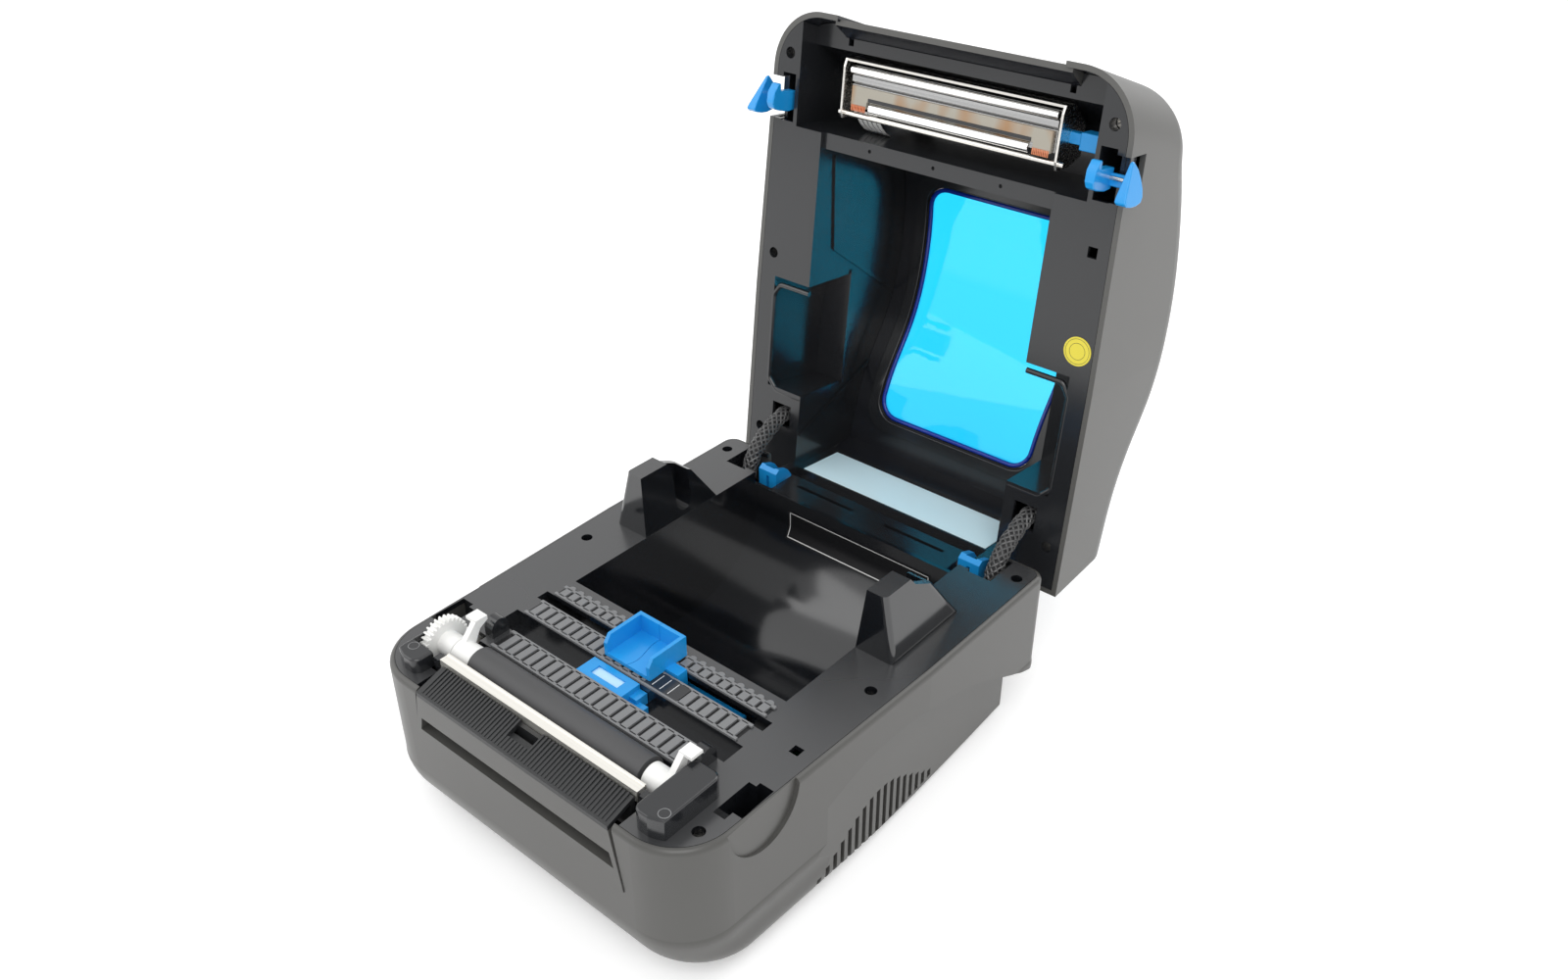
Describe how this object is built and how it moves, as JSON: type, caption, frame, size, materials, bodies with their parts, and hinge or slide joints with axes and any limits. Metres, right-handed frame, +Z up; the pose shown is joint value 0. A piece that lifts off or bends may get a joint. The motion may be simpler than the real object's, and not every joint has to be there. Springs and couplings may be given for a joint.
{
  "type": "label printer",
  "caption": "Desktop label printer with hinged lid open: roll trough, spool pedestals, platen drive, sprung print head, latches, media guides and tinted window.",
  "frame": {"origin": "on the table under the middle of the open printer, in the plane of the rubber feet, 57.94 mm behind the middle of the base", "axes": "+X to the right seen from the front, +Y to the back, +Z up, lid open at rest"},
  "size_m": [0.2272, 0.3824, 0.3319],
  "materials": {
    "shell_grey": "semi-gloss, fine texture",
    "liner_black": "smooth",
    "bed_grey": "satin",
    "ramp_grey": "ribbed satin",
    "azure": "satin",
    "window_blue": "tinted",
    "white_plastic": "satin",
    "bar_steel": "brushed",
    "plated_steel": "plated",
    "roller_rubber": "ground",
    "foot_rubber": "matte",
    "sink_aluminium": "extruded",
    "ceramic": "glazed",
    "copper": "bright",
    "motor_steel": "laminated",
    "board_green": "lacquered",
    "sleeve_braid": "braided",
    "cable_white": "flat",
    "sticker_yellow": "paper",
    "plate_white": "paper",
    "light_clear": "clear",
    "switch_black": "fine",
    "lens_clear": "clear"
  },
  "bodies": {
    "base": {"lower_shell": "shell_grey", "bottom_plate": "shell_grey", "rubber_feet": "foot_rubber", "deck": "liner_black", "front_panel": "shell_grey", "label_ramp": "ramp_grey", "tear_bar": "bar_steel", "tear_bar_carrier": "liner_black", "end_cover_left": "liner_black", "end_cover_right": "liner_black", "bed_plate_front": "bed_grey", "bed_plate_middle": "bed_grey", "bed_plate_rear": "bed_grey", "lever_keepers": "liner_black", "platen_seats": "liner_black", "rear_bar": "liner_black", "hinge_clevis_left": "azure", "hinge_clevis_right": "azure", "hinge_pins": "plated_steel", "deck_screws": "plated_steel", "circuit_board": "board_green", "stepper_motor": "motor_steel", "gear_plate": "plated_steel", "switch_frame": "switch_black", "power_inlet": "switch_black", "usb_socket": "plated_steel", "wire_sleeve_left": "sleeve_braid", "wire_sleeve_right": "sleeve_braid"},
    "lid": {"lid_shell": "shell_grey", "lid_liner": "liner_black", "lid_window": "window_blue", "label_plate": "plate_white", "round_sticker": "sticker_yellow", "lid_screws": "plated_steel", "head_bracket": "plated_steel", "head_rod": "plated_steel", "head_springs": "plated_steel", "flat_cable": "cable_white", "head_holders": "azure", "latch_pins": "plated_steel", "light_pipes": "light_clear"},
    "print_head": {"heat_sink": "sink_aluminium", "heating_strip": "ceramic", "head_contacts": "copper"},
    "latch_left": {"latch_left": "azure"},
    "latch_right": {"latch_right": "azure"},
    "feed_button": {"feed_button": "azure"},
    "power_rocker": {"power_rocker": "switch_black"},
    "platen": {"platen_shaft": "plated_steel", "platen_rubber": "roller_rubber", "platen_gear": "white_plastic"},
    "idler": {"idler_gear": "white_plastic"},
    "pinion": {"motor_pinion": "white_plastic"},
    "lever_left": {"platen_lever_left": "white_plastic"},
    "lever_right": {"platen_lever_right": "white_plastic"},
    "guide_left": {"media_guide_left": "azure"},
    "guide_right": {"media_guide_right": "azure"},
    "guide_pinion": {"guide_pinion": "white_plastic"},
    "sensor_slider": {"gap_sensor_slider": "azure", "sensor_lens": "lens_clear"}
  },
  "joints": [
    {"name": "lid_hinge", "type": "hinge", "parent": "base", "child": "lid", "pos_m": [0, 0.07106, 0.0729], "axis": [1, 0, 0], "range_deg": [0, 96.17], "deforming": ["wire_sleeve_left", "wire_sleeve_right"]},
    {"name": "head_float", "type": "slide", "parent": "lid", "child": "print_head", "axis": [0, 0.9942, -0.1075], "range_m": [0, 0.0015], "stiffness_N_per_m": 4000, "deforming": ["head_springs"]},
    {"name": "latch_left_pivot", "type": "hinge", "parent": "lid", "child": "latch_left", "pos_m": [0, 0.11713, 0.28412], "axis": [1, 0, 0], "range_deg": [0, 12], "stiffness_Nm_per_rad": 0.6},
    {"name": "latch_right_pivot", "type": "hinge", "parent": "lid", "child": "latch_right", "pos_m": [0, 0.11713, 0.28412], "axis": [1, 0, 0], "range_deg": [0, 12], "stiffness_Nm_per_rad": 0.6},
    {"name": "feed_button_press", "type": "slide", "parent": "lid", "child": "feed_button", "axis": [0, -0.6386, -0.7695], "range_m": [0, 0.0012], "stiffness_N_per_m": 600},
    {"name": "power_rocker_tilt", "type": "hinge", "parent": "base", "child": "power_rocker", "pos_m": [-0.07, 0.05646, 0.02], "axis": [0, 0, 1], "range_deg": [0, 18]},
    {"name": "platen_spin", "type": "hinge", "parent": "base", "child": "platen", "pos_m": [0, -0.15954, 0.088], "axis": [1, 0, 0], "continuous": true},
    {"name": "idler_spin", "type": "hinge", "parent": "base", "child": "idler", "pos_m": [-0.0831, -0.14087, 0.06933], "axis": [1, 0, 0], "continuous": true},
    {"name": "pinion_spin", "type": "hinge", "parent": "base", "child": "pinion", "pos_m": [-0.0831, -0.14087, 0.04773], "axis": [1, 0, 0], "continuous": true},
    {"name": "lever_left_turn", "type": "hinge", "parent": "base", "child": "lever_left", "pos_m": [-0.068, -0.15954, 0.088], "axis": [1, 0, 0], "range_deg": [0, 70]},
    {"name": "lever_right_turn", "type": "hinge", "parent": "base", "child": "lever_right", "pos_m": [0.068, -0.15954, 0.088], "axis": [1, 0, 0], "range_deg": [0, 70]},
    {"name": "guide_pinion_spin", "type": "hinge", "parent": "base", "child": "guide_pinion", "pos_m": [0, -0.10524, 0.074], "axis": [0, 0, 1], "range_deg": [0, 420.67]},
    {"name": "guide_left_slide", "type": "slide", "parent": "base", "child": "guide_left", "axis": [1, 0, 0], "range_m": [-0.044, 0]},
    {"name": "guide_right_slide", "type": "slide", "parent": "base", "child": "guide_right", "axis": [1, 0, 0], "range_m": [0, 0.044]},
    {"name": "sensor_slide", "type": "slide", "parent": "base", "child": "sensor_slider", "axis": [1, 0, 0], "range_m": [-0.045, 0.045]}
  ],
  "couplings": [
    {"joint": "idler_spin", "follows": "platen_spin", "ratio": -0.83333},
    {"joint": "pinion_spin", "follows": "platen_spin", "ratio": 1.6667},
    {"joint": "guide_right_slide", "follows": "guide_left_slide", "ratio": -1},
    {"joint": "guide_pinion_spin", "follows": "guide_left_slide", "rad_per_m": -166.67}
  ]
}
